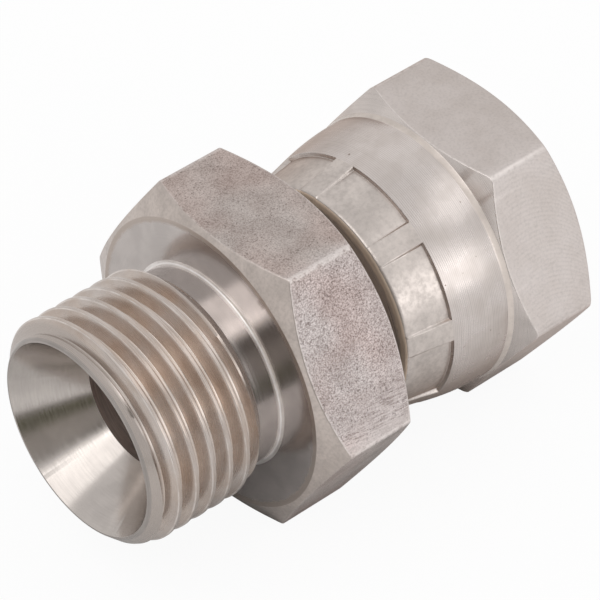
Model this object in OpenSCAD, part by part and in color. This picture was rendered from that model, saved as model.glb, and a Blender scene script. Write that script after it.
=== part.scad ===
// Swivel adapter for hydraulic lines, G1/2 (1/2 inch BSPP) male to female, 60 degree cone.
// Two separate pieces: a turned body with the male thread, the fixed hexagon and the stem
// with its cone nose, and a hexagon nut that is crimped over the stem and turns freely on it.
// The fitting's axis is +X, from the male end towards the nut. +Z is up: the body lies on one
// flat of its hexagon. The origin is on the axis, in the plane of the sealing face that the
// male thread ends at. All lengths are in millimetres.

/* [Threads] */
// Outside diameter of the male thread
thread_d = 20.955; // [20.7:0.005:21.2]
// Distance from one thread turn to the next
thread_pitch = 1.814; // [1.7:0.002:1.9]
// Inner diameter of the nut's thread
nut_thread_d = 19.17; // [18.7:0.01:19.17]

/* [Male end] */
// From the front lip to the sealing face
male_length = 14.2; // [13:0.1:18]
// Length of the plain relief behind the thread
relief_length = 2.3; // [1.8:0.1:3.5]
// Diameter of the plain relief
relief_d = 18.4; // [17.8:0.1:18.4]
// Diameter of the cone seat at the front lip
seat_d = 17.86; // [16.5:0.02:17.9]
// Diameter of the lip where the front chamfer starts
lip_d = 18.2; // [18.1:0.05:19]

/* [Waterway] */
// Diameter of the hole along the body
bore_d = 11.1; // [8:0.1:12]

/* [Body hexagon] */
// Across the flats of the body's hexagon
body_af = 28; // [27:0.1:32]
// Length of the body's hexagon, faces included
body_hex_length = 9.6; // [8:0.1:14]

/* [Swivel nut] */
// Across the flats of the nut's hexagon
nut_af = 25.8; // [25.8:0.1:27]
// How far the long edges of the nut's hexagon are cut back
nut_edge_cut = 0.15; // [0.05:0.01:0.3]
// Length of the nut from its crimped rim to its open face
nut_length = 19.45; // [19:0.05:21]
// Length of the nut's hexagon, faces included
nut_hex_length = 9; // [8.5:0.1:9.2]
// Diameter of the barrel beside the nut's hexagon
barrel_d = 25.34; // [25:0.02:25.4]
// Half angle of the crimped cone at the rim, in degrees
crimp_angle = 12.8; // [11:0.1:14]
// Clear gap between the body's hexagon and the nut's rim
nut_gap = 2.96; // [1.5:0.01:4.5]
// How far the loose nut hangs below the body's axis
nut_drop = 0.45; // [0:0.05:0.5]
// How far the nut is turned on the body, in degrees
nut_turn = 2.6; // [0:0.05:60]

/* [Crimp marks] */
// Number of crimp marks around the barrel
mark_count = 8; // [4:1:10]
// Width of one mark, in degrees
mark_width = 34.5; // [24:0.5:35]
// Length of the marks, from the rim
mark_length = 4.4; // [3:0.05:4.9]
// Depth of a mark at its rear step
mark_depth = 0.38; // [0.2:0.02:0.5]

/* [Hidden] */

// Smoothness of round surfaces and of one turn of thread
round_fn = 128;
turn_steps = 36;
// How far a cutting shape runs past what it cuts
past = 1;

// Whitworth thread form, cut with flat crests and roots
flank_angle = 27.5;
thread_depth = 0.6403 * thread_pitch;
flat_width = thread_pitch / 2 - thread_depth * tan(flank_angle);
groove_past = 0.1;
major_r = thread_d / 2;
minor_r = major_r - thread_depth;
female_r = nut_thread_d / 2;

// Angles from the axis: cone seats and noses 30, thread chamfers 45, hexagon chamfers 60
cone_half = 30;
hex_chamfer = 30;

// Male end, from the front lip to the sealing face at x = 0
front_x = -male_length;
seat_r = seat_d / 2;
lip_r = lip_d / 2;
bore_r = bore_d / 2;
relief_r = relief_d / 2;
relief_fillet = 0.35;
seat_end_x = front_x + (seat_r - bore_r) / tan(cone_half);
chamfer_end_x = front_x + major_r - lip_r;
// From a thread root above the axis to the front lip behind it
thread_lead = 0.878;
male_root_x = front_x - thread_lead;
male_turns = ceil((male_length - relief_length / 2) / thread_pitch);

// Hexagons: round faces left by the chamfers
body_face_d = 0.968 * body_af;
nut_face_d = 0.953 * nut_af;

// Nut, from the rim to the open face
rim_x = body_hex_length + nut_gap;
open_x = rim_x + nut_length;
nut_hex_x = open_x - nut_hex_length;
barrel_r = barrel_d / 2;
// The crimp: a cone from the rim, then a bend that runs out into the straight barrel
cone_length = 5;
taper_length = 10;
taper_bend = (taper_length - cone_length) / sin(crimp_angle);
cone_end_r = barrel_r - taper_bend * (1 - cos(crimp_angle));
rim_r = cone_end_r - cone_length * tan(crimp_angle);
neck_fillet = 0.4;
mark_turn = 9;
mark_rim_depth = 0.05;

// Swivel: the crimped lip holds the stem's head, which turns in the nut's guide bore. The
// nut is loose on the stem: it hangs by nut_drop, and each clearance leaves room for that.
head_gap = 0.1;
lip_gap = 0.2;
shoulder_gap = 0.15;
guide_step = 0.24;
guide_r = female_r - guide_step;
head_r = guide_r - nut_drop - head_gap;
neck_r = 7.25;
crimp_lip_r = neck_r + nut_drop + lip_gap;
crimp_lip_length = 1.93;
lip_edge = 0.3;
shoulder_x = rim_x + crimp_lip_length;
head_x = shoulder_x + (head_r - crimp_lip_r) + nut_drop + shoulder_gap;
neck_end_x = head_x - (head_r - neck_r);
socket_length = 13;
guide_end_x = open_x - socket_length;
nose_lead = 0.3;
nose_x = guide_end_x + nose_lead;
tip_r = 6.9;
tip_x = nose_x + (head_r - tip_r) / tan(cone_half);
tip_edge = 0.4;

// Female thread, with a run-out groove behind it and an entry chamfer
thread_gap = 0.06;
female_x = tip_x + thread_gap;
runout_depth = 0.22;
runout_r = major_r + runout_depth;
entry_depth = 0.32;
entry_r = major_r + entry_depth;
female_turns = ceil((open_x - female_x) / thread_pitch) + 1;
female_lead = 1.9;
female_root_x = female_x - female_lead;

// Radius of the crimped cone at a distance u from the rim
function cone_at(u) = rim_r + u * tan(crimp_angle);

// Turns what is drawn around +Z so that it runs along +X
module axial() {
    rotate([0, 90, 0])
        children();
}

// A turned solid from points given as [radius, x]
module turned(points) {
    axial()
        rotate_extrude($fn = round_fn)
            polygon(points);
}

// Hexagonal bar between x = 0 and length, its corners cut back to round faces at both ends
module hexagon(af, length, front_face_r, back_face_r) {
    corner_r = af / sqrt(3);
    blank_r = corner_r + past;
    slope = tan(hex_chamfer);
    intersection() {
        rotate([30, 0, 0])
            axial()
                cylinder(r = corner_r, h = length, $fn = 6);
        turned([
            [0, 0],
            [front_face_r, 0],
            [blank_r, (blank_r - front_face_r) * slope],
            [blank_r, length - (blank_r - back_face_r) * slope],
            [back_face_r, length],
            [0, length]
        ]);
    }
}

// One section of the thread groove: narrow or wide at its inner and outer radius
function groove_section(x, angle, in_r, in_w, out_r, out_w) = [
    [x - in_w, -in_r * sin(angle), in_r * cos(angle)],
    [x + in_w, -in_r * sin(angle), in_r * cos(angle)],
    [x + out_w, -out_r * sin(angle), out_r * cos(angle)],
    [x - out_w, -out_r * sin(angle), out_r * cos(angle)]
];

// Right-hand helical groove that starts above the axis at start_x
module groove(start_x, turns, in_r, in_w, out_r, out_w) {
    n = turns * turn_steps;
    sections = [for (i = [0:n]) each groove_section(
        start_x + thread_pitch * i / turn_steps, 360 * i / turn_steps, in_r, in_w, out_r, out_w)];
    sides = [for (i = [0:n - 1]) for (k = [0:3]) each [
        [4 * i + k, 4 * (i + 1) + k, 4 * (i + 1) + (k + 1) % 4],
        [4 * i + k, 4 * (i + 1) + (k + 1) % 4, 4 * i + (k + 1) % 4]]];
    caps = [[0, 1, 2, 3], [4 * n + 3, 4 * n + 2, 4 * n + 1, 4 * n]];
    polyhedron(sections, concat(sides, caps), convexity = 10);
}

narrow_w = flat_width / 2;
wide_w = narrow_w + (thread_depth + groove_past) * tan(flank_angle);

// The outside of the male end and of the stem, without the hexagon
module body_blank() {
    turned([
        [0, front_x],
        [lip_r, front_x],
        [major_r, chamfer_end_x],
        [major_r, -relief_length - (major_r - relief_r)],
        [relief_r, -relief_length],
        [relief_r, past],
        [neck_r, past],
        [neck_r, neck_end_x],
        [head_r, head_x],
        [head_r, nose_x],
        [tip_r, tip_x],
        [0, tip_x]
    ]);
}

// Fillet between the relief and the sealing face
module relief_corner() {
    axial()
        rotate_extrude($fn = round_fn)
            translate([relief_r, -relief_fillet])
                difference() {
                    translate([-past, 0])
                        square([relief_fillet + past, relief_fillet + past]);
                    translate([relief_fillet, 0])
                        circle(r = relief_fillet, $fn = round_fn);
                }
}

// The cone seat, the waterway and the broken edge at the nose
module body_passage() {
    turned([
        [0, front_x - past],
        [seat_r + past * tan(cone_half), front_x - past],
        [bore_r, seat_end_x],
        [bore_r, tip_x - tip_edge],
        [bore_r + tip_edge + past, tip_x + past],
        [0, tip_x + past]
    ]);
}

module adaptor_body() {
    color([0.72, 0.69, 0.66])
        difference() {
            union() {
                body_blank();
                relief_corner();
                hexagon(body_af, body_hex_length, body_face_d / 2, body_face_d / 2);
            }
            groove(male_root_x, male_turns, minor_r, narrow_w, major_r + groove_past, wide_w);
            body_passage();
        }
}

// The crimped barrel: a straight part beside the hexagon, a bend, and a cone down to the rim
module barrel() {
    translate([rim_x, 0, 0])
        axial()
            rotate_extrude($fn = round_fn) {
                polygon([[0, 0], [rim_r, 0], [cone_end_r, cone_length], [0, cone_length]]);
                intersection() {
                    translate([0, cone_length])
                        square([barrel_r, taper_length - cone_length]);
                    translate([barrel_r - taper_bend, taper_length])
                        circle(r = taper_bend, $fn = 2 * round_fn);
                }
                translate([0, taper_length])
                    square([barrel_r, nut_hex_x - rim_x - taper_length + past]);
            }
    turned([
        [0, nut_hex_x - neck_fillet],
        [barrel_r, nut_hex_x - neck_fillet],
        [barrel_r + neck_fillet * tan(cone_half), nut_hex_x + neck_fillet * tan(cone_half)],
        [0, nut_hex_x + neck_fillet]
    ]);
}

// One crimp mark: a shallow sector that deepens from the rim to a sharp rear step
module mark(middle) {
    floor_r = cone_at(mark_length) - mark_depth;
    rim_floor_r = rim_r - mark_rim_depth;
    slope = (floor_r - rim_floor_r) / mark_length;
    rotate([middle - mark_width / 2 - 180, 0, 0])
        translate([rim_x, 0, 0])
            axial()
                rotate_extrude(angle = mark_width, $fn = round_fn)
                    polygon([
                        [rim_floor_r - past * slope, -past],
                        [floor_r, mark_length],
                        [barrel_r + past, mark_length],
                        [barrel_r + past, -past]
                    ]);
}

// The inside of the nut: crimped lip, guide bore, run-out groove, thread bore, entry
module nut_passage() {
    turned([
        [0, rim_x - past],
        [crimp_lip_r + lip_edge + past, rim_x - past],
        [crimp_lip_r, rim_x + lip_edge],
        [crimp_lip_r, shoulder_x],
        [guide_r, shoulder_x + guide_r - crimp_lip_r],
        [guide_r, guide_end_x],
        [runout_r, guide_end_x + runout_r - guide_r],
        [runout_r, female_x - (runout_r - female_r)],
        [female_r, female_x],
        [female_r, open_x - (entry_r - female_r)],
        [entry_r + past, open_x + past],
        [0, open_x + past]
    ]);
}

// The nut's hexagon, its long edges cut back by a second hexagon turned by half a side
module nut_hexagon() {
    edge_r = nut_af / sqrt(3) - nut_edge_cut;
    translate([nut_hex_x, 0, 0])
        intersection() {
            hexagon(nut_af, nut_hex_length, barrel_r, nut_face_d / 2);
            axial()
                cylinder(r = edge_r / cos(30), h = nut_hex_length, $fn = 6);
        }
}

module swivel_nut() {
    color([0.75, 0.72, 0.69])
        translate([0, 0, -nut_drop])
            rotate([nut_turn, 0, 0])
                difference() {
                    union() {
                        barrel();
                        nut_hexagon();
                    }
                    for (k = [0:mark_count - 1])
                        mark(mark_turn + 360 / mark_count * k);
                    nut_passage();
                    groove(
                        female_root_x, female_turns, minor_r - groove_past, wide_w, major_r, narrow_w);
                }
}

adaptor_body();
swivel_nut();
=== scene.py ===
import math

import bpy
import numpy as np
from mathutils import Matrix, Vector


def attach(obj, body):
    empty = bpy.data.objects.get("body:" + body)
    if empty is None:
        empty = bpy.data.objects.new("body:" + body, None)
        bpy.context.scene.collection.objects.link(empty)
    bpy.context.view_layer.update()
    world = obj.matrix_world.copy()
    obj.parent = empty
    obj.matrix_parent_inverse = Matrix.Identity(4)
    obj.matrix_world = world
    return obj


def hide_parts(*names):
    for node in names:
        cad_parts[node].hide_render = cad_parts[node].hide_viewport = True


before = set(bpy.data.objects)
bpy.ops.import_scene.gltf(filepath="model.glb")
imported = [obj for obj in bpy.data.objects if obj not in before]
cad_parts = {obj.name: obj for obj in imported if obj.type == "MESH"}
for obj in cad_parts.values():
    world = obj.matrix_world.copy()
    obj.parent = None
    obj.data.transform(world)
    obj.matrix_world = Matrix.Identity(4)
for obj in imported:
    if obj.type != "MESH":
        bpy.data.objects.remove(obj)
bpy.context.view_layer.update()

MM = 0.001
TAN30 = math.tan(math.radians(30))
HEX_CORNERS = [30 + 60 * k for k in range(6)]

# Sizes in millimetres, as in the part's source, with x along the fitting from the sealing face
PITCH = 1.814
MAJOR_R = 20.955 / 2
DEPTH = 0.6403 * PITCH
MINOR_R = MAJOR_R - DEPTH
FLANK = math.radians(27.5)
FLAT = PITCH / 2 - DEPTH * math.tan(FLANK)

# Male end, with the middle of a thread root a phase in front of the lip
FRONT_X = -14.2
MALE_PHASE = 0.878
MALE_ROOT_X = FRONT_X - MALE_PHASE
LIP_R = 9.1
SEAT_R = 8.93
BORE_R = 5.55
SEAT_END_X = FRONT_X + (SEAT_R - BORE_R) / TAN30
RELIEF_X = -2.3
RELIEF_R = 9.2
RELIEF_FILLET = 0.35
RUN_IN = 0.2
# Extra rows, so that the relief shades evenly
RELIEF_ROWS = (RELIEF_X + 0.2, -1.0)

# Body hexagon
BODY_AF = 28.0
BODY_LENGTH = 9.6
BODY_FACE_R = 0.968 * BODY_AF / 2

# Nut, from its crimped rim to its open face
NUT_AF = 25.8
RIM_X = BODY_LENGTH + 2.96
OPEN_X = RIM_X + 19.45
NUT_HEX_X = OPEN_X - 9.0
NUT_FACE_R = 0.953 * NUT_AF / 2
NUT_DROP = 0.45
NUT_TURN = math.radians(2.6)
BARREL_R = 25.34 / 2
NECK_FILLET = 0.4
NECK_RISE = 0.186

# The barrel is a cone for the first stretch from the rim, then bends until it is straight
CRIMP = math.radians(12.8)
CONE = 5.0
TAPER = 10.0
BEND = (TAPER - CONE) / math.sin(CRIMP)
CONE_END_R = BARREL_R - BEND * (1 - math.cos(CRIMP))
RIM_R = CONE_END_R - CONE * math.tan(CRIMP)
BARREL_ROWS = (9.4, 8.8, 8.2, 7.6, 7.0, 6.4, 5.8, 5.3, 5.0, 4.7, 4.5)

# Crimp marks, with angles in degrees
MARKS = 8
MARK_TURN = 9.0
MARK_WIDTH = 34.5
MARK_SIDE = 0.9
MARK_LENGTH = 4.4
MARK_DEPTH = 0.38
MARK_RIM_DEPTH = 0.05
MARK_ROWS = (4.2, 3.8, 3.2, 2.6, 2.0, 1.4, 0.9)
# A mark's rear step: distance from its end towards the rim, and share of the depth reached there
MARK_STEP = ((-0.015, 0.0), (-0.005, 0.06), (0.002, 0.25), (0.008, 0.7), (0.02, 0.92), (0.05, 0.99))

# Stem, and the nut's inside
FEMALE_R = 19.17 / 2
GUIDE_R = FEMALE_R - 0.24
HEAD_R = GUIDE_R - NUT_DROP - 0.1
NECK_R = 7.25
CRIMP_LIP_R = NECK_R + NUT_DROP + 0.2
CRIMP_LIP_CHAMFER = 0.3
SHOULDER_X = RIM_X + 1.93
HEAD_X = SHOULDER_X + HEAD_R - CRIMP_LIP_R + NUT_DROP + 0.15
NECK_END_X = HEAD_X - (HEAD_R - NECK_R)
GUIDE_END_X = OPEN_X - 13
NOSE_X = GUIDE_END_X + 0.3
TIP_R = 6.9
TIP_X = NOSE_X + (HEAD_R - TIP_R) / TAN30
TIP_EDGE = 0.4
FEMALE_X = TIP_X + 0.06
FEMALE_PHASE = 1.9
FEMALE_ROOT_X = FEMALE_X - FEMALE_PHASE
RUNOUT_R = MAJOR_R + 0.22
ENTRY_R = MAJOR_R + 0.32

# Radii of the fine rounding that the part's source leaves out
BODY_EDGE_ROUND = 0.3
NUT_EDGE_ROUND = 1.0
BODY_FLAT_ROUND = 0.22
NUT_FLAT_ROUND = 0.2
FACE_ROUND = 0.15
NECK_ROUND = 0.3
HEAD_ROUND = 0.12
INNER_ROUND = 0.1
RUNOUT_ROUND = 0.2
RIM_ROUND = 0.45
SEAT_END_ROUND = 0.06
LIP_ROUND = 0.08
CRISP = 0.05
FILLET_ROOM = 0.02
THREAD_END_BLEND = 0.05
# The most of its shorter side that a rounding may take
ROUND_SHARE = 0.46
# How far a thread's blank stands past the thread between its two ends
PAST = 1

# Columns of a turned piece: extra ones beside corners and mark sides, in degrees
BODY_COLUMNS = 240
NUT_COLUMNS = 180
CORNER_STEPS = (0, 0.2, 0.4, 0.65, 1.0, 1.5, 2.2)
MARK_STEPS = (0, 0.25, 0.5, 0.9)
CLOSEST = 0.12

# Mesh: merging distance in metres and the angle in degrees from which an edge is sharp
WELD = 2e-7
SHARP_ANGLE = 32


def barrel_at(u):
    """Barrel radius at a distance u from the nut's rim: a cone, a bend, then straight."""
    cone = RIM_R + u * np.tan(CRIMP)
    bend = BARREL_R - BEND + np.sqrt(BEND * BEND - np.clip(TAPER - u, 0, TAPER - CONE) ** 2)
    return np.where(u < CONE, cone, bend)


def columns(corners, mark_sides, even):
    """Angles round a turned piece, closer together at hexagon corners and mark sides."""
    angles = set(np.round(np.arange(0, 360, 360 / even), 4))
    for places, steps in ((corners, CORNER_STEPS), (mark_sides, MARK_STEPS)):
        for place in places:
            for step in steps:
                angles |= {round((place + step) % 360, 4), round((place - step) % 360, 4)}
    keep = []
    for angle in sorted(angles):
        if not keep or angle - keep[-1] > CLOSEST:
            keep.append(angle)
    return np.radians(np.array(keep))


def hexagon_radius(theta, across_flats, corner):
    """Distance from the axis to a hexagon with flats up and down and rounded corners."""
    side = math.radians(30)
    apothem = across_flats / 2
    phi = np.abs((theta + side) % (2 * side) - side)
    centre = (apothem - corner) / math.cos(side)
    tangent = math.atan(centre * math.sin(side) / apothem)
    away = side - phi
    rounded = centre * np.cos(away) + np.sqrt(np.maximum(corner**2 - (centre * np.sin(away)) ** 2, 0))
    return np.where(phi > tangent, rounded, apothem / np.cos(phi))


def rows_of(outline, count, steps=4):
    """Rows of (x, r, surface) from corners of (x, r, fillet, surface of what follows)."""
    corners = []
    for x, r, fillet, surface in outline:
        place = np.stack([np.broadcast_to(np.asarray(v, float), (count,)) for v in (x, r)])
        corners.append((place, fillet, surface))
    first, last = corners[0], corners[-1]
    rows = [(*first[0], first[2])]
    for before, here, after in zip(corners, corners[1:], corners[2:]):
        place, fillet, surface = here
        if fillet <= 0:
            rows.append((*place, surface))
            continue
        back, on = before[0] - place, after[0] - place
        back_length, on_length = np.hypot(*back), np.hypot(*on)
        back, on = back / back_length, on / on_length
        half = np.arccos(np.clip((back * on).sum(0), -1, 1)) / 2
        reach = np.minimum(fillet / np.tan(half), ROUND_SHARE * np.minimum(back_length, on_length))
        radius = reach * np.tan(half)
        middle = (back + on) / np.maximum(np.hypot(*(back + on)), 1e-9)
        centre = place + middle * radius / np.sin(half)
        start, end = place + back * reach - centre, place + on * reach - centre
        sweep = np.pi - 2 * half
        for i in range(steps + 1):
            share = i / steps
            spoke = np.sin((1 - share) * sweep) * start + np.sin(share * sweep) * end
            point = spoke / np.maximum(np.sin(sweep), 1e-9) + centre
            rows.append((*point, before[2] if share < 0.5 else surface))
    rows.append((*last[0], last[2]))
    return rows


def thread_form(root_r, crest_r, crest_round, root_round, per_flank=3, per_round=4):
    """One pitch of thread as (share of the pitch, radius), from the middle of a root to the next."""
    root = FLAT / 2
    crest = PITCH / 2 - root - abs(crest_r - root_r) * math.tan(FLANK)
    line = [
        (0.0, root_r, 0),
        (root, root_r, root_round),
        (PITCH / 2 - crest, crest_r, crest_round),
        (PITCH / 2 + crest, crest_r, crest_round),
        (PITCH - root, root_r, root_round),
        (PITCH, root_r, 0),
    ]
    rows = rows_of([(*corner, "thread") for corner in line], 1, per_round)
    form = [(float(x[0]) / PITCH, float(r[0])) for x, r, _ in rows]
    longest = 0.09
    full = [form[0]]
    for (u0, r0), (u1, r1) in zip(form, form[1:]):
        if u1 - u0 > longest:
            for i in range(1, per_flank):
                full.append((u0 + (u1 - u0) * i / per_flank, r0 + (r1 - r0) * i / per_flank))
        full.append((u1, r1))
    return np.array(full[:-1])


def thread_rows(theta, form, root_x, start, end, blank, outward, surface):
    """Rows that follow the helix between the rings at start and end, where they meet the blank."""
    turns = int(math.ceil((end - root_x) / PITCH)) + 1
    along = np.concatenate([form[:, 0] + k for k in range(turns + 1)])
    x = root_x + PITCH * (along[:, None] + theta[None, :] / (2 * np.pi))
    held_x = np.clip(x, start, end)
    sign = 1.0 if outward else -1.0
    cut_r = sign * np.broadcast_to(np.tile(form[:, 1], turns + 1)[:, None], x.shape)
    blank_r = sign * blank(held_x)
    share = np.clip(0.5 + 0.5 * (blank_r - cut_r) / THREAD_END_BLEND, 0, 1)
    r = sign * (blank_r * (1 - share) + cut_r * share - THREAD_END_BLEND * share * (1 - share))
    r = np.where(x < start, blank(np.full_like(x, start)), r)
    r = np.where(x > end, blank(np.full_like(x, end)), r)
    return held_x, r, len(form), surface


def lathe_quads(rows, count, surfaces):
    """Quads between neighbouring rows all the way round, and the material of each."""
    column = np.arange(count)
    quads, mats = [], []
    for i in range(len(rows) - 1):
        here = i * count + column
        beside = i * count + (column + 1) % count
        quads.append(np.stack([here, beside, beside + count, here + count], axis=1))
        mats.append(np.full(count, surfaces[rows[i][2]]))
    return quads, mats


def thread_quads(first, row_count, count, per_turn):
    """Quads of the thread rows: the last column joins the first column of the next turn."""
    quads = []
    for i in range(row_count - 1):
        here = first + i * count + np.arange(count)
        beside = here + 1
        beyond = beside + count
        beside[-1] = first + (i + per_turn) * count
        beyond[-1] = beside[-1] + count
        quad = np.stack([here, beside, beyond, here + count], axis=1)
        quads.append(quad[:-1] if i + 1 + per_turn >= row_count else quad)
    return quads


def welded(points, quads, mats):
    """Merged points and the faces on them, without faces that have shrunk to a line."""
    key = np.round(points / WELD).astype(np.int64)
    _, first, inverse = np.unique(key, axis=0, return_index=True, return_inverse=True)
    faces, face_mats = [], []
    for quad, mat in zip(inverse.reshape(-1)[quads].tolist(), mats.tolist()):
        face = list(dict.fromkeys(quad))
        if len(face) > 2:
            faces.append(face)
            face_mats.append(mat)
    return points[first], faces, face_mats


def piece(name, theta, rows, thread, surfaces, turn, drop):
    """A closed turned piece from lathe rows and one block of thread rows, all in one mesh."""
    count = len(theta)
    sine, cosine = np.sin(theta + turn), np.cos(theta + turn)
    thread_x, thread_r, per_turn, thread_surface = thread

    def place(x, r):
        return (np.stack([x, -r * sine, r * cosine - drop], axis=-1) * MM).reshape(-1, 3)

    points = [place(x, r) for x, r, _ in rows] + [place(thread_x, thread_r)]
    quads, mats = lathe_quads(rows, count, surfaces)
    for quad in thread_quads(len(rows) * count, len(thread_x), count, per_turn):
        quads.append(quad)
        mats.append(np.full(len(quad), surfaces[thread_surface]))
    points, faces, face_mats = welded(np.concatenate(points), np.concatenate(quads), np.concatenate(mats))
    mesh = bpy.data.meshes.new(name)
    mesh.from_pydata(points.tolist(), [], faces)
    mesh.polygons.foreach_set("material_index", face_mats)
    mesh.validate()
    mesh.update()
    mesh.shade_smooth()
    mesh.set_sharp_from_angle(angle=math.radians(SHARP_ANGLE))
    obj = bpy.data.objects.new(name, mesh)
    bpy.context.scene.collection.objects.link(obj)
    weigh = obj.modifiers.new("even_normals", "WEIGHTED_NORMAL")
    weigh.mode = "FACE_AREA"
    weigh.weight = 60
    weigh.keep_sharp = True
    return obj


def body_mesh():
    """Body as angles, lathe rows and thread rows, from the relief round the nose to the lip."""
    theta = columns(HEX_CORNERS, [], BODY_COLUMNS)
    flat_r = hexagon_radius(theta, BODY_AF, BODY_EDGE_ROUND)
    cut = (flat_r - BODY_FACE_R) * TAN30
    rows = rows_of([
        (RELIEF_X - RUN_IN, RELIEF_R + RUN_IN, 0, "runout"),
        (RELIEF_X, RELIEF_R, CRISP, "turned"),
        *[(x, RELIEF_R, 0, "turned") for x in RELIEF_ROWS],
        (-RELIEF_FILLET - FILLET_ROOM, RELIEF_R, 0, "fillet"),
        (0, RELIEF_R, RELIEF_FILLET, "fillet"),
        (0, RELIEF_R + RELIEF_FILLET + FILLET_ROOM, 0, "face"),
        (0, BODY_FACE_R, FACE_ROUND, "chamfer"),
        (cut, flat_r, BODY_FLAT_ROUND, "flat"),
        (BODY_LENGTH - cut, flat_r, BODY_FLAT_ROUND, "chamfer"),
        (BODY_LENGTH, BODY_FACE_R, FACE_ROUND, "back"),
        (BODY_LENGTH, NECK_R, NECK_ROUND, "inner"),
        (NECK_END_X, NECK_R, NECK_ROUND, "inner"),
        (HEAD_X, HEAD_R, HEAD_ROUND, "inner"),
        (NOSE_X, HEAD_R, HEAD_ROUND, "turned"),
        (TIP_X, TIP_R, FACE_ROUND, "turned"),
        (TIP_X, BORE_R + TIP_EDGE, CRISP, "turned"),
        (TIP_X - TIP_EDGE, BORE_R, INNER_ROUND, "bore"),
        (SEAT_END_X, BORE_R, SEAT_END_ROUND, "seat"),
        (FRONT_X, SEAT_R, CRISP, "lip"),
        (FRONT_X, LIP_R, LIP_ROUND, "lip"),
        (FRONT_X + RUN_IN, LIP_R + RUN_IN, 0, "lip"),
    ], len(theta))

    def blank(x):
        """Radius that the thread is cut into: a chamfer in front and a run-out behind."""
        chamfer = LIP_R + (x - FRONT_X)
        runout = RELIEF_R + (RELIEF_X - x)
        return np.minimum(np.minimum(chamfer, runout), MAJOR_R + PAST)

    form = thread_form(MINOR_R, MAJOR_R, crest_round=0.05, root_round=0.2)
    start, end = FRONT_X + RUN_IN, RELIEF_X - RUN_IN
    thread = thread_rows(theta, form, MALE_ROOT_X - PITCH, start, end, blank, True, "thread")
    return theta, rows, thread


def mark_weight(theta):
    """1 inside a crimp mark, 0 between marks, with soft sides."""
    step = 2 * math.pi / MARKS
    off = np.abs((theta - math.radians(MARK_TURN) + step / 2) % step - step / 2)
    soft = math.radians(MARK_SIDE)
    share = np.clip((math.radians(MARK_WIDTH / 2) + soft / 2 - off) / soft, 0, 1)
    return share * share * (3 - 2 * share)


def nut_mesh():
    """Nut as angles, lathe rows and thread rows, from the open face round the rim to the inside."""
    step = 360 / MARKS
    sides = [MARK_TURN + step * k + side * MARK_WIDTH / 2 for k in range(MARKS) for side in (-1, 1)]
    theta = columns(HEX_CORNERS, sides, NUT_COLUMNS)
    flat_r = hexagon_radius(theta, NUT_AF, NUT_EDGE_ROUND)
    weight = mark_weight(theta)
    floor_end = barrel_at(MARK_LENGTH) - MARK_DEPTH
    floor_rim = RIM_R - MARK_RIM_DEPTH
    inner_x = FEMALE_X - (RUNOUT_R - FEMALE_R)

    def wall(u, depth):
        """Barrel radius with the marks pressed in to a share of their depth."""
        floor = floor_rim + (floor_end - floor_rim) * u / MARK_LENGTH
        return barrel_at(u) * (1 - weight * depth) + floor * weight * depth

    outline = [
        (OPEN_X, ENTRY_R, 0, "end"),
        (OPEN_X, NUT_FACE_R, FACE_ROUND, "nut_chamfer"),
        (OPEN_X - (flat_r - NUT_FACE_R) * TAN30, flat_r, NUT_FLAT_ROUND, "nut_flat"),
        (NUT_HEX_X + (flat_r - BARREL_R) * TAN30, flat_r, FACE_ROUND, "nut_chamfer"),
        (NUT_HEX_X + NECK_RISE * TAN30, BARREL_R + NECK_RISE, INNER_ROUND, "neck"),
        (NUT_HEX_X - NECK_FILLET, BARREL_R, NECK_FILLET, "barrel"),
    ]
    outline += [(RIM_X + u, wall(u, 0), 0, "barrel") for u in BARREL_ROWS]
    for inward, depth in MARK_STEP:
        u = MARK_LENGTH - inward
        outline.append((RIM_X + u, wall(u, depth), 0, "mark" if depth > 0.5 else "barrel"))
    outline += [(RIM_X + u, wall(u, 1), 0, "mark") for u in MARK_ROWS]
    outline += [
        (RIM_X, wall(0.0, 1), RIM_ROUND, "rim"),
        (RIM_X, CRIMP_LIP_R + CRIMP_LIP_CHAMFER, CRISP, "inner"),
        (RIM_X + CRIMP_LIP_CHAMFER, CRIMP_LIP_R, INNER_ROUND, "inner"),
        (SHOULDER_X, CRIMP_LIP_R, INNER_ROUND, "inner"),
        (SHOULDER_X + GUIDE_R - CRIMP_LIP_R, GUIDE_R, INNER_ROUND, "inner"),
        (GUIDE_END_X, GUIDE_R, INNER_ROUND, "inner"),
        (GUIDE_END_X + RUNOUT_R - GUIDE_R, RUNOUT_R, RUNOUT_ROUND, "inner"),
        (inner_x, RUNOUT_R, 0, "inner"),
    ]
    rows = rows_of(outline, len(theta))

    def blank(x):
        """Radius that the thread is cut into: a run-out inside and a chamfer at the open face."""
        runout = RUNOUT_R - (x - inner_x)
        entry = ENTRY_R - (OPEN_X - x)
        return np.maximum(np.maximum(runout, entry), FEMALE_R - PAST)

    form = thread_form(MAJOR_R, FEMALE_R, crest_round=0.08, root_round=0.15, per_flank=2, per_round=3)
    root_x = FEMALE_ROOT_X - 2 * PITCH
    thread = thread_rows(theta, form, root_x, inner_x, OPEN_X, blank, False, "socket")
    return theta, rows, thread


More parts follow.
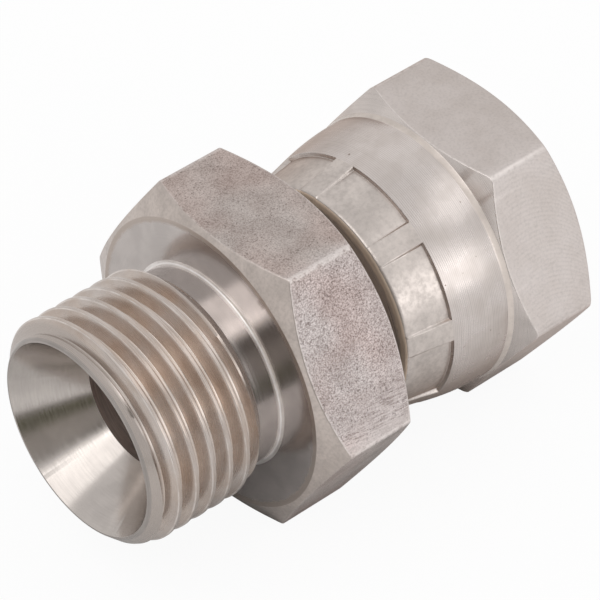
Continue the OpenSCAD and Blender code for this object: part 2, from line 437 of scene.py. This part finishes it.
class Nodes:
    """The node tree of a material or world, with short calls for the nodes used here."""

    def __init__(self, owner):
        owner.use_nodes = True
        self.tree = owner.node_tree

    def node(self, kind):
        return self.tree.nodes.new("ShaderNode" + kind)

    def put(self, socket, value):
        if isinstance(value, bpy.types.NodeSocket):
            self.tree.links.new(value, socket)
        else:
            socket.default_value = value

    def fill(self, node, *values):
        """Puts values into the node's first sockets and returns what it gives."""
        for socket, value in zip(node.inputs, values):
            self.put(socket, value)
        return node.outputs[0]

    def math(self, kind, *values):
        node = self.node("Math")
        node.operation = kind
        return self.fill(node, *values)

    def plus(self, a, b):
        return self.math("ADD", a, b)

    def minus(self, a, b):
        return self.math("SUBTRACT", a, b)

    def times(self, a, b):
        return self.math("MULTIPLY", a, b)

    def larger(self, a, b):
        return self.math("MAXIMUM", a, b)

    def vector(self, kind, *values):
        node = self.node("VectorMath")
        node.operation = kind
        return self.fill(node, *values)

    def noise(self, size, at, detail=2.0, rough=0.5):
        """Noise with features of about that size, in the units of the place."""
        node = self.node("TexNoise")
        self.put(node.inputs["Vector"], at)
        node.inputs["Scale"].default_value = 1 / size
        node.inputs["Detail"].default_value = detail
        node.inputs["Roughness"].default_value = rough
        return node.outputs["Fac"]

    def ramp(self, value, *stops):
        """Value through a colour ramp with stops of (position, grey or colour)."""
        node = self.node("ValToRGB")
        elements = node.color_ramp.elements
        while len(elements) < len(stops):
            elements.new(1.0)
        for element, (at, color) in zip(elements, stops):
            element.position = at
            element.color = (*color, 1) if isinstance(color, tuple) else (color, color, color, 1)
        return self.fill(node, value)

    def between(self, value, low, high, out_low=0.0, out_high=1.0, kind="SMOOTHSTEP"):
        """Value from low to high turned into out_low to out_high, and held there beyond them."""
        node = self.node("MapRange")
        node.interpolation_type = kind
        return self.fill(node, value, low, high, out_low, out_high)


class Look(Nodes):
    """A metal with procedural detail, in millimetres round the piece's own axis.

    x runs along the axis, r is the distance from it and theta the angle round it. Across is the
    distance from the middle line of a hexagon's flat, and phi the angle from that line.
    """

    def __init__(self, name, color, roughness, drop=0.0, turn=0.0):
        self.mat = bpy.data.materials.new(name)
        super().__init__(self.mat)
        self.bsdf = self.tree.nodes["Principled BSDF"]
        self.color((*color, 1))
        self.rough(roughness)
        self.bsdf.inputs["Metallic"].default_value = 1
        metres = self.node("TexCoord").outputs["Object"]
        scaled = self.vector("MULTIPLY", metres, (1 / MM, 1 / MM, 1 / MM))
        self.place = self.vector("ADD", scaled, (0, 0, drop))
        split = self.node("SeparateXYZ")
        self.tree.links.new(self.place, split.inputs[0])
        self.x, y, z = split.outputs
        self.r = self.math("SQRT", self.plus(self.times(y, y), self.times(z, z)))
        self.theta = self.math("ARCTAN2", self.times(y, -1), z)
        side = math.radians(30)
        self.phi = self.math("WRAP", self.minus(self.theta, turn), side, -side)
        self.across = self.times(self.r, self.math("SINE", self.phi))

    def grain(self, size, detail=2.0, rough=0.5):
        """Noise with features of about that size in millimetres."""
        return self.noise(size, self.place, detail, rough)

    def stretched(self, x, y, z, detail, rough):
        """Noise at a place made up of three values."""
        return self.noise(1.0, self.fill(self.node("CombineXYZ"), x, y, z), detail, rough)

    def around(self, along, pitch, sweep):
        """Noise drawn out round the axis: fine across along, long round the piece."""
        return self.stretched(self.times(along, 1 / pitch), self.times(self.theta, sweep), 0.0, 3.0, 0.6)

    def mix(self, factor, a, b, kind="MIX"):
        node = self.node("Mix")
        node.data_type = "RGBA"
        node.blend_type = kind
        self.put(node.inputs[0], factor)
        self.put(node.inputs[6], (*a, 1) if isinstance(a, tuple) else a)
        self.put(node.inputs[7], (*b, 1) if isinstance(b, tuple) else b)
        return node.outputs[2]

    def tinted(self, a, b):
        return self.mix(1.0, a, b, "MULTIPLY")

    def color(self, value):
        self.put(self.bsdf.inputs["Base Color"], value)

    def rough(self, value):
        self.put(self.bsdf.inputs["Roughness"], value)

    def bump(self, height, depth):
        """Relief of that depth in millimetres for a height from 0 to 1."""
        node = self.node("Bump")
        self.put(node.inputs["Height"], height)
        node.inputs["Strength"].default_value = 1
        node.inputs["Distance"].default_value = depth * MM
        self.tree.links.new(node.outputs[0], self.bsdf.inputs["Normal"])


LIGHT = (0.63, 0.565, 0.53)
WHITE = (1.0, 1.0, 1.0)


def edge_wear(g, across_flats, face_r, start, end):
    """1 along a flat's own borders, broken up: its long edges and its chamfered ends."""
    half = across_flats / 2 * TAN30
    corner = g.between(g.math("ABSOLUTE", g.across), half - 0.42, half - 0.2)
    reach = g.times(g.minus(g.r, face_r), TAN30)
    front = g.minus(g.minus(g.x, start), reach)
    ends = g.between(front, 0.03, 0.2, 1.0, 0.0)
    if end is not None:
        rear = g.minus(g.minus(end, reach), g.x)
        ends = g.larger(ends, g.between(rear, 0.03, 0.2, 1.0, 0.0))
    broken = g.between(g.grain(0.45, detail=3.0), 0.3, 0.55)
    return g.times(g.larger(corner, ends), broken)


def blasted(name, axis):
    """Hexagon flats of the body: blasted and pitted, one side streaked and the others quieter."""
    g = Look(name, LIGHT, 0.45, *axis)
    fine = g.grain(0.13, detail=3.0, rough=0.7)
    clouds = g.grain(1.3, detail=3.0, rough=0.6)
    broad = g.grain(3.4, detail=2.0, rough=0.6)
    patch = g.grain(6.0, detail=1.0)
    speckle = g.between(fine, 0.36, 0.62)
    pits = g.between(g.plus(g.grain(0.2, detail=1.0), g.times(clouds, 0.45)), 0.53, 0.6, 1.0, 0.0)

    # The streaked side is the one 60 degrees round from the top
    from_side = g.math("ABSOLUTE", g.minus(g.theta, math.radians(60)))
    side = g.between(from_side, 0.45, 0.6, 1.0, 0.0)
    slant = g.minus(g.across, g.times(g.x, 0.08))
    streak = g.stretched(g.times(g.x, 0.8), g.times(slant, 6.5), g.times(g.phi, 2.0), 3.0, 0.65)
    streaked = g.plus(g.times(speckle, 0.45), g.times(g.between(streak, 0.36, 0.58), 0.65))
    low_part = g.between(g.plus(g.across, g.times(g.x, 0.3)), 3.5, 8.0)
    marks = g.mix(g.times(low_part, side), speckle, streaked)

    dark = g.mix(side, (0.42, 0.365, 0.335), (0.37, 0.31, 0.29))
    bright = g.mix(side, (0.60, 0.53, 0.495), (0.72, 0.65, 0.63))
    speckled = g.mix(marks, dark, bright)
    pitted = g.mix(g.times(pits, 0.8), speckled, g.tinted(speckled, (0.55, 0.53, 0.52)))
    shade = g.ramp(broad, (0.36, (0.82, 0.795, 0.785)), (0.6, WHITE))
    tint = g.ramp(patch, (0.38, (1.0, 0.95, 0.945)), (0.62, (0.98, 0.99, 1.0)))
    plain = g.tinted(g.tinted(pitted, shade), tint)

    half = BODY_AF / 2 * TAN30
    low_edge = g.between(g.plus(g.across, g.times(clouds, 0.8)), half - 1.0, half - 0.2)
    rubbed = g.mix(g.times(low_edge, g.times(side, 0.55)), plain, (0.68, 0.62, 0.60))
    wear = edge_wear(g, BODY_AF, BODY_FACE_R, 0.0, BODY_LENGTH)
    g.color(g.mix(g.times(wear, g.plus(0.4, g.times(side, 0.45))), rubbed, (0.8, 0.74, 0.71)))
    g.rough(g.between(fine, 0.3, 0.7, 0.52, 0.4))
    g.bump(g.plus(g.times(marks, 0.6), g.times(g.minus(1.0, pits), 0.4)), 0.01)
    return g.mat


def milled(name, axis):
    """Hexagon flats of the nut: feed marks of a face mill, faint on the top flat; the other flats are
    also coloured lighter, as painted light.
    """
    g = Look(name, LIGHT, 0.4, *axis)
    cutter_r, apex, feed = 6.6, 26.0, 0.4
    off = g.minus(g.x, apex)
    inside = g.larger(g.minus(cutter_r * cutter_r, g.times(off, off)), 0.0)
    travel = g.minus(g.across, g.minus(cutter_r, g.math("SQRT", inside)))
    wobble = g.times(g.grain(1.5, detail=1.0), 0.12)
    wave = g.math("SINE", g.times(g.plus(travel, wobble), 2 * math.pi / feed))
    broken = g.between(g.grain(1.1, detail=2.0), 0.2, 0.6, 0.35, 1.0)
    fade = g.between(g.x, NUT_HEX_X + 0.6, NUT_HEX_X + 2.6)
    lined_sides_painted_lighter = g.between(g.math("ABSOLUTE", g.theta), 0.45, 0.6)
    amount = g.times(g.times(broken, fade), g.plus(g.times(lined_sides_painted_lighter, 0.85), 0.15))
    arcs = g.plus(g.times(g.times(wave, amount), 0.5), 0.5)

    fine = g.grain(0.22, detail=2.0, rough=0.6)
    broad = g.grain(2.8, detail=3.0, rough=0.6)
    quiet = g.ramp(broad, (0.34, (0.575, 0.52, 0.492)), (0.62, (0.61, 0.555, 0.53)))
    # Painted light: the flats other than the top one are coloured about a tenth lighter than it
    base = g.tinted(quiet, g.mix(lined_sides_painted_lighter, (0.99, 0.985, 0.98), (1.1, 1.1, 1.1)))
    line = g.ramp(arcs, (0.0, 0.94), (0.5, 0.99), (1.0, 1.0))
    plain = g.tinted(g.tinted(base, line), g.ramp(fine, (0.3, 0.9), (0.55, 1.0)))
    wear = edge_wear(g, NUT_AF, BARREL_R, NUT_HEX_X, None)
    g.color(g.mix(g.times(wear, 0.6), plain, (0.78, 0.72, 0.69)))
    g.rough(g.between(broad, 0.3, 0.7, 0.46, 0.36))
    g.bump(g.plus(g.times(arcs, 0.7), g.times(fine, 0.3)), 0.0035)
    return g.mat


def cut(name, axis, color, roughness, grain=0.3, contrast=0.12, depth=0.004):
    """Plain machined metal with a fine grain and soft, broad clouds."""
    g = Look(name, color, roughness, *axis)
    fine = g.grain(grain, detail=2.0, rough=0.65)
    broad = g.grain(2.2, detail=2.0)
    base = g.mix(g.between(broad, 0.35, 0.65), tuple(0.88 * c for c in color), color)
    g.color(g.tinted(base, g.ramp(fine, (0.32, 1 - contrast), (0.6, 1.0))))
    g.rough(g.between(fine, 0.3, 0.7, roughness * 1.15, roughness * 0.88))
    g.bump(fine, depth)
    return g.mat


def turned(name, axis, color, roughness, along, pitch=0.1, contrast=0.1, depth=0.002,
           sweep=1.2, border=None):
    """Turned metal: fine lines round the axis, along x or along r, with a rougher border ring of its own
    colour if asked.
    """
    g = Look(name, color, roughness, *axis)
    lines = g.around(getattr(g, along), pitch, sweep)
    broad = g.grain(2.5, detail=2.0)
    base = g.mix(g.between(broad, 0.35, 0.65), tuple(0.9 * c for c in color), color)
    even = g.tinted(base, g.ramp(lines, (0.3, 1 - contrast), (0.6, 1.0)))
    polish = g.between(lines, 0.3, 0.7, roughness * 1.2, roughness * 0.85)
    if border:
        near, border_color = border
        uneven_r = g.plus(g.r, g.times(g.grain(0.8, detail=3.0), 0.5))
        edge = g.between(uneven_r, near, near + 0.35)
        even = g.mix(edge, even, border_color)
        polish = g.plus(polish, g.times(edge, 0.2))
    g.color(even)
    g.rough(polish)
    g.bump(lines, depth)
    return g.mat


def threaded(name, axis, root_r, crest_r, root_color, crest_color, roughness, lead=None):
    """Thread: flanks and roots stained along the turns, and painted highlight lines at the crests' edges.

    Lead is (end, color) for a thread whose first stretch, up to x = end, has a plain colour.
    """
    g = Look(name, crest_color, roughness, *axis)
    base = g.mix(g.between(g.r, root_r, crest_r), root_color, crest_color)
    spots = g.ramp(g.around(g.x, 0.9, 2.4), (0.34, (0.86, 0.82, 0.79)), (0.6, WHITE))
    warm = g.ramp(g.grain(3.0, detail=3.0), (0.4, (1.0, 0.965, 0.93)), (0.6, WHITE))
    stained = g.tinted(g.tinted(base, spots), warm)
    if lead:
        end, plain = lead
        stained = g.mix(g.between(g.x, end - 0.3, end, 1.0, 0.0), stained, plain)
    # Painted highlight: lighter lines just inside each crest's edges, where a crest catches light
    down = -1 if crest_r > root_r else 1
    rising = g.between(g.r, crest_r + down * 0.16, crest_r + down * 0.07)
    falling = g.between(g.r, crest_r + down * 0.03, crest_r + down * 0.005, 1.0, 0.0)
    patchy = g.between(g.grain(1.6, detail=2.0), 0.35, 0.65, 0.25, 0.75)
    crest_highlight = g.times(g.times(rising, falling), patchy)
    g.color(g.mix(crest_highlight, stained, (0.8, 0.74, 0.7)))
    fine = g.around(g.x, 0.08, 1.5)
    g.rough(g.between(fine, 0.3, 0.7, roughness * 1.2, roughness * 0.85))
    g.bump(fine, 0.0012)
    return g.mat


def barrel_steel(name, axis):
    """Turned barrel: regular fine feed lines, with dull patches and a few specks."""
    g = Look(name, LIGHT, 0.26, *axis)
    feed = 0.17
    wobble = g.times(g.grain(3.0, detail=0.0), 0.2)
    wave = g.math("SINE", g.times(g.plus(g.x, wobble), 2 * math.pi / feed))
    lines = g.plus(g.times(wave, 0.25), g.around(g.x, 0.09, 1.0))
    broad = g.grain(2.4, detail=3.0, rough=0.6)
    base = g.ramp(broad, (0.34, (0.60, 0.54, 0.505)), (0.6, (0.66, 0.60, 0.57)))
    fine = g.ramp(lines, (0.2, 0.84), (0.6, 1.0))
    specks = g.mix(g.between(g.grain(0.4, detail=0.0), 0.1, 0.17), (0.5, 0.45, 0.42), WHITE)
    g.color(g.tinted(g.tinted(base, fine), specks))
    g.rough(g.between(broad, 0.35, 0.65, 0.31, 0.26))
    g.bump(lines, 0.003)
    return g.mat


# Axis of each piece for its looks: how far it hangs and how far it is turned
BODY = (0.0, 0.0)
NUT = (NUT_DROP, NUT_TURN)
looks = {
    "thread": threaded("thread_steel", BODY, MINOR_R, MAJOR_R, (0.635, 0.565, 0.52), (0.56, 0.50, 0.465),
                       0.25, lead=(FRONT_X + 1.5, (0.465, 0.41, 0.375))),
    "socket": threaded("socket_thread_steel", NUT, MAJOR_R, FEMALE_R, (0.50, 0.44, 0.40),
                       (0.58, 0.52, 0.49), 0.28),
    "runout": cut("runout_steel", BODY, (0.53, 0.475, 0.445), 0.36, contrast=0.06, depth=0.001),
    "turned": turned("turned_steel", BODY, (0.68, 0.64, 0.62), 0.18, "x", contrast=0.05, depth=0.0008),
    # Painted highlight: the relief's fillet is coloured near white to widen its bright line
    "fillet": cut("fillet_painted_highlight_steel", BODY, (0.9, 0.85, 0.82), 0.32, contrast=0.05, depth=0.001),
    "face": turned("face_steel", BODY, (0.55, 0.50, 0.475), 0.18, "r", contrast=0.04, depth=0.0005,
                   border=(BODY_FACE_R - 0.4, (0.49, 0.42, 0.375))),
    # Painted shade: the body's rear face is coloured dark for the shadowed gap between the body and the
    # nut
    "back": turned("back_face_painted_shade_steel", BODY, (0.30, 0.26, 0.235), 0.38, "r"),
    "chamfer": cut("chamfer_steel", BODY, (0.61, 0.535, 0.49), 0.34),
    "nut_chamfer": turned("nut_chamfer_steel", NUT, (0.71, 0.645, 0.61), 0.24, "r", pitch=0.12,
                          contrast=0.08, depth=0.001),
    # Painted highlight: the neck ring is coloured lighter than the barrel to show its bright ring
    "neck": cut("neck_painted_highlight_steel", NUT, (0.72, 0.64, 0.585), 0.32, contrast=0.06, depth=0.002),
    "flat": blasted("blasted_flat_steel", BODY),
    "nut_flat": milled("milled_flat_steel", NUT),
    # Painted shade: the insides, seen in the gap between the parts, are coloured dark
    "inner": turned("inner_painted_shade_steel", NUT, (0.36, 0.31, 0.27), 0.45, "x"),
    "bore": turned("bore_steel", BODY, (0.76, 0.66, 0.61), 0.48, "x", pitch=0.25, contrast=0.45,
                   depth=0.015),
    "seat": turned("seat_steel", BODY, (0.59, 0.54, 0.505), 0.2, "x", pitch=0.12, contrast=0.05,
                   depth=0.0015, sweep=3.0),
    "lip": turned("lip_steel", BODY, (0.42, 0.38, 0.355), 0.3, "r", contrast=0.15),
    "end": turned("end_steel", NUT, (0.60, 0.545, 0.51), 0.27, "r", pitch=0.14, depth=0.003),
    "barrel": barrel_steel("barrel_steel", NUT),
    "mark": cut("mark_steel", NUT, (0.655, 0.59, 0.55), 0.33, grain=0.45, contrast=0.14, depth=0.01),
    # Painted light: the rim's outer border is a light tan, lifting the rim where it lies in shade
    "rim": turned("rim_steel", NUT, (0.62, 0.515, 0.45), 0.3, "r", contrast=0.06,
                  border=(RIM_R - 0.75, (0.92, 0.75, 0.6))),
}


def principled(key):
    return looks[key].node_tree.nodes["Principled BSDF"].inputs


# The rim is dull and dirty, and the nut mirrors less, and warmer, at a glancing angle
principled("rim")["Metallic"].default_value = 0.5
for key in ("nut_flat", "barrel", "mark", "nut_chamfer"):
    principled(key)["Specular Tint"].default_value = (0.7, 0.61, 0.56, 1)


def dress(name, mesh, node, body, slot, drop, turn):
    """Builds a piece, gives it its looks and puts it in its CAD node's place."""
    theta, rows, thread = mesh
    used = list(dict.fromkeys([surface for _, _, surface in rows] + [thread[3]]))
    surfaces = {surface: index for index, surface in enumerate(used)}
    obj = piece(name, theta, rows, thread, surfaces, turn, drop)
    for surface in used:
        obj.data.materials.append(looks[surface])
    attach(obj, body)
    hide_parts(node)
    print(name, "triangles", sum(len(face.vertices) - 2 for face in obj.data.polygons))


dress("body_turned", body_mesh(), "adaptor_body", "body", "body_steel", *BODY)
dress("nut_turned", nut_mesh(), "swivel_nut", "nut", "nut_steel", *NUT)


def direction(azimuth, elevation):
    a, e = math.radians(azimuth), math.radians(elevation)
    return Vector((math.cos(a) * math.cos(e), math.sin(a) * math.cos(e), math.sin(e)))


def facing_in(obj, azimuth, elevation, distance, target=(0, 0, 0)):
    """Adds an object in that direction and distance from a target, turned towards it."""
    bpy.context.scene.collection.objects.link(obj)
    way = direction(azimuth, elevation)
    obj.location = Vector(target) + way * distance
    obj.rotation_euler = way.to_track_quat("Z", "Y").to_euler()


# Camera solved from the photograph, in degrees and metres, with its focal length in millimetres
CAMERA_AZIMUTH = -132.80942
CAMERA_ELEVATION = 42.55711
CAMERA_ROLL = 1.67631
CAMERA_DISTANCE = 0.3214124
CAMERA_TARGET = (0.0110239, 0.0008647, 0)
CAMERA_LENS = 226.427

cam_data = bpy.data.cameras.new("camera")
cam_data.sensor_width = 36
cam_data.lens = CAMERA_LENS
cam_data.clip_start = 0.01
cam_data.clip_end = 10
cam = bpy.data.objects.new("camera", cam_data)
facing_in(cam, CAMERA_AZIMUTH, CAMERA_ELEVATION, CAMERA_DISTANCE, CAMERA_TARGET)
roll = Matrix.Rotation(math.radians(CAMERA_ROLL), 3, "Z")
cam.rotation_euler = (cam.rotation_euler.to_matrix() @ roll).to_euler()
bpy.context.scene.camera = cam


def soft_box(name, azimuth, elevation, distance, width, height, radiance):
    """A rectangular lamp that isn't seen itself, turned towards the fitting."""
    lamp = bpy.data.lights.new(name, "AREA")
    lamp.shape = "RECTANGLE"
    lamp.size, lamp.size_y = width, height
    lamp.energy = radiance * math.pi * width * height
    obj = bpy.data.objects.new(name, lamp)
    facing_in(obj, azimuth, elevation, distance)
    obj.visible_camera = False


def sheet(name, half_width, half_height):
    """A flat rectangle, which is part of the studio and not of the fitting."""
    w, h = half_width, half_height
    mesh = bpy.data.meshes.new(name)
    mesh.from_pydata([(-w, -h, 0), (w, -h, 0), (w, h, 0), (-w, h, 0)], [], [(0, 1, 2, 3)])
    return bpy.data.objects.new(name, mesh)


def bare_material(obj, name):
    """Gives the object a new material without a shader, and returns its nodes and output."""
    mat = bpy.data.materials.new(name)
    g = Nodes(mat)
    g.tree.nodes.remove(g.tree.nodes["Principled BSDF"])
    obj.data.materials.append(mat)
    return g, g.tree.nodes["Material Output"].inputs["Surface"]


def card(name, azimuth, elevation, distance, width, height, bands, target=(0, 0, 0)):
    """A dark card with uneven bands of colour up its height, seen only in the metal's reflections."""
    obj = sheet(name, width / 2, height / 2)
    facing_in(obj, azimuth, elevation, distance, target)
    obj.visible_camera = False
    obj.visible_diffuse = False
    obj.visible_shadow = False
    g, surface = bare_material(obj, name)
    place = g.node("TexCoord").outputs["Object"]
    split = g.node("SeparateXYZ")
    g.put(split.inputs[0], place)
    up = g.between(split.outputs[1], -height / 2, height / 2, kind="LINEAR")
    patch, unevenness = 0.02, 0.3
    shift = g.math("MULTIPLY_ADD", g.noise(patch, place, detail=3.0), unevenness, up)
    glow = g.ramp(g.minus(shift, unevenness / 2), *bands)
    g.put(surface, g.fill(g.node("Emission"), glow))


# Lamps: azimuth and elevation in degrees, distance, width and height in metres, and radiance
soft_box("side_box", -74, 17, 0.7, 0.3, 0.3, 1.15)
soft_box("front_box", -78, 36, 0.7, 0.26, 0.16, 0.4)
soft_box("high_side_box", -34, 55, 0.8, 0.5, 0.3, 0.6)
soft_box("back_box", 40, 40, 0.9, 0.9, 0.8, 0.14)
soft_box("top_box", -175, 62, 0.8, 0.6, 0.5, 0.92)
soft_box("camera_box", -138, 57, 0.8, 0.3, 0.22, 0.9)

# Cards: what the cone seat and the relief mirror, as bands of (height, colour) from the bottom up
DARK_BANDS = [
    (0.0, (0.3, 0.28, 0.25)),
    (0.1, (0.09, 0.09, 0.05)),
    (0.22, (0.1, 0.1, 0.065)),
    (0.38, (0.36, 0.34, 0.32)),
    (0.6, (0.38, 0.36, 0.34)),
    (0.78, (0.16, 0.145, 0.13)),
    (0.9, (0.11, 0.1, 0.09)),
    (1.0, (0.5, 0.47, 0.44)),
]
FLOOR_BANDS = [(at, (0.14, 0.13, 0.12)) for at in (0.0, 1.0)]
card("dark_card", -126, 22, 0.15, 0.08, 0.16, DARK_BANDS)
card("floor_card", 0, -90, 0.0135, 0.06, 0.09, FLOOR_BANDS, target=(-0.065, -0.105, 0))

# White floor: what the camera and reflections see of it is lifted towards white, its shadow stays
FLOOR_HALF = 3
FLOOR_COLOR = 0.86
CAMERA_LIFT = 0.93
MIRRORED_LIFT = 0.2
# Painted shade: reflections see the floor darker within this reach of the fitting, in metres
SHADE_REACH = 0.035
SHADE_POWER = 0.47

floor = sheet("floor", FLOOR_HALF, FLOOR_HALF)
floor.location = (0, 0, -BODY_AF / 2 * MM)
bpy.context.scene.collection.objects.link(floor)
g, surface = bare_material(floor, "floor_white")
path = g.node("LightPath").outputs
near = g.node("AmbientOcclusion")
near.samples = 4
near.inputs["Distance"].default_value = SHADE_REACH
mirrored = g.larger(path["Is Glossy Ray"], path["Is Transmission Ray"])
open_air = g.math("POWER", near.outputs["AO"], SHADE_POWER)
# Painted shade: in reflections the floor's colour falls with ambient occlusion near the fitting
painted_contact_shade = g.times(mirrored, g.minus(1.0, open_air))
matt = g.fill(g.node("BsdfDiffuse"), g.times(g.minus(1.0, painted_contact_shade), FLOOR_COLOR))
seen = g.times(path["Is Camera Ray"], CAMERA_LIFT)
share = g.larger(seen, g.times(g.times(mirrored, open_air), MIRRORED_LIFT))
g.put(surface, g.fill(g.node("MixShader"), share, matt, g.node("Emission").outputs[0]))

# White surroundings, a little dimmer for the metal than for the camera
SURROUNDINGS = 0.8
BACKDROP = 1.0

world = bpy.data.worlds.new("studio")
bpy.context.scene.world = world
g = Nodes(world)
path = g.node("LightPath").outputs
air = g.tree.nodes["Background"].inputs
air["Color"].default_value = (*WHITE, 1)
g.put(air["Strength"], g.between(path["Is Camera Ray"], 0.0, 1.0, SURROUNDINGS, BACKDROP, kind="LINEAR"))

bpy.context.scene.view_settings.view_transform = "Standard"
